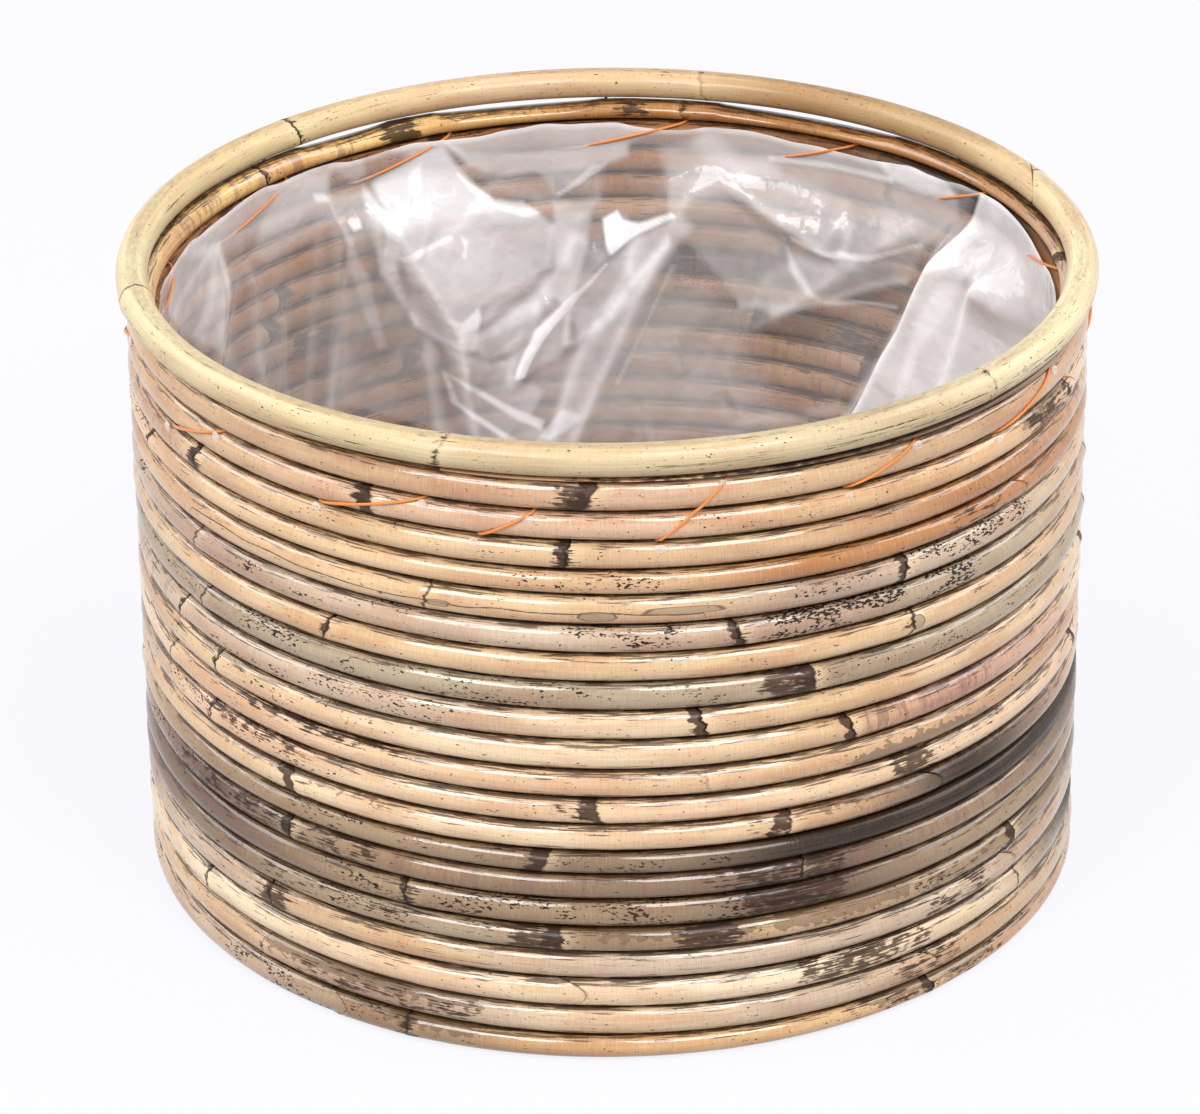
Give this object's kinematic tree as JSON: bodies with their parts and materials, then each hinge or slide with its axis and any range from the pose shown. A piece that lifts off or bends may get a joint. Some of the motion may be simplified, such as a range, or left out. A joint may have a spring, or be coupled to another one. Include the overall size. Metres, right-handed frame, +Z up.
{
  "type": "rattan planter",
  "caption": "Round open planter: a tall wall of one coiled, spliced cane under a thicker cane rim, a slatted floor and a film liner sewn in along its hem.",
  "frame": {"origin": "on the floor, under the middle of the planter", "axes": "+Z up through the open top; the start of the coil is to the left of the middle of the -Y side, which the picture shows as the front"},
  "size_m": [0.4, 0.4, 0.27],
  "materials": {
    "lacquered_cane": "glossy clear lacquer over mottled rattan skin",
    "pale_rim_cane": "glossy clear lacquer over pale straw rattan",
    "split_cane": "split cane, bare below and lacquered above",
    "brad_steel": "bright drawn steel, dulled",
    "clear_film": "clear crumpled film, milky at its creases",
    "orange_thread": "waxed orange thread, slightly shiny"
  },
  "bodies": {
    "root": {"coil_cane_1": "lacquered_cane", "coil_cane_2": "lacquered_cane", "coil_cane_3": "lacquered_cane", "coil_cane_4": "lacquered_cane", "coil_cane_5": "lacquered_cane", "coil_cane_6": "lacquered_cane", "coil_cane_7": "lacquered_cane", "coil_cane_8": "lacquered_cane", "coil_cane_9": "lacquered_cane", "coil_cane_10": "lacquered_cane", "coil_cane_11": "lacquered_cane", "rim_cane": "pale_rim_cane", "base_bearer_front": "split_cane", "base_bearer_back": "split_cane", "base_slat_1": "split_cane", "base_slat_2": "split_cane", "base_slat_3": "split_cane", "base_slat_4": "split_cane", "base_slat_5": "split_cane", "base_slat_6": "split_cane", "base_slat_7": "split_cane", "base_slat_8": "split_cane", "base_slat_9": "split_cane", "base_slat_10": "split_cane", "base_slat_11": "split_cane", "base_slat_12": "split_cane", "base_slat_13": "split_cane", "rim_brad_1": "brad_steel", "rim_brad_2": "brad_steel", "rim_brad_3": "brad_steel", "rim_brad_4": "brad_steel", "rim_brad_5": "brad_steel", "rim_brad_6": "brad_steel", "rim_brad_7": "brad_steel", "rim_brad_8": "brad_steel", "splice_brad_1": "brad_steel", "splice_brad_2": "brad_steel", "splice_brad_3": "brad_steel", "splice_brad_4": "brad_steel", "splice_brad_5": "brad_steel", "splice_brad_6": "brad_steel", "splice_brad_7": "brad_steel", "splice_brad_8": "brad_steel", "splice_brad_9": "brad_steel", "splice_brad_10": "brad_steel", "bearer_brad_1": "brad_steel", "bearer_brad_2": "brad_steel", "bearer_brad_3": "brad_steel", "bearer_brad_4": "brad_steel", "liner": "clear_film", "stitch_thread": "orange_thread"}
  },
  "joints": []
}
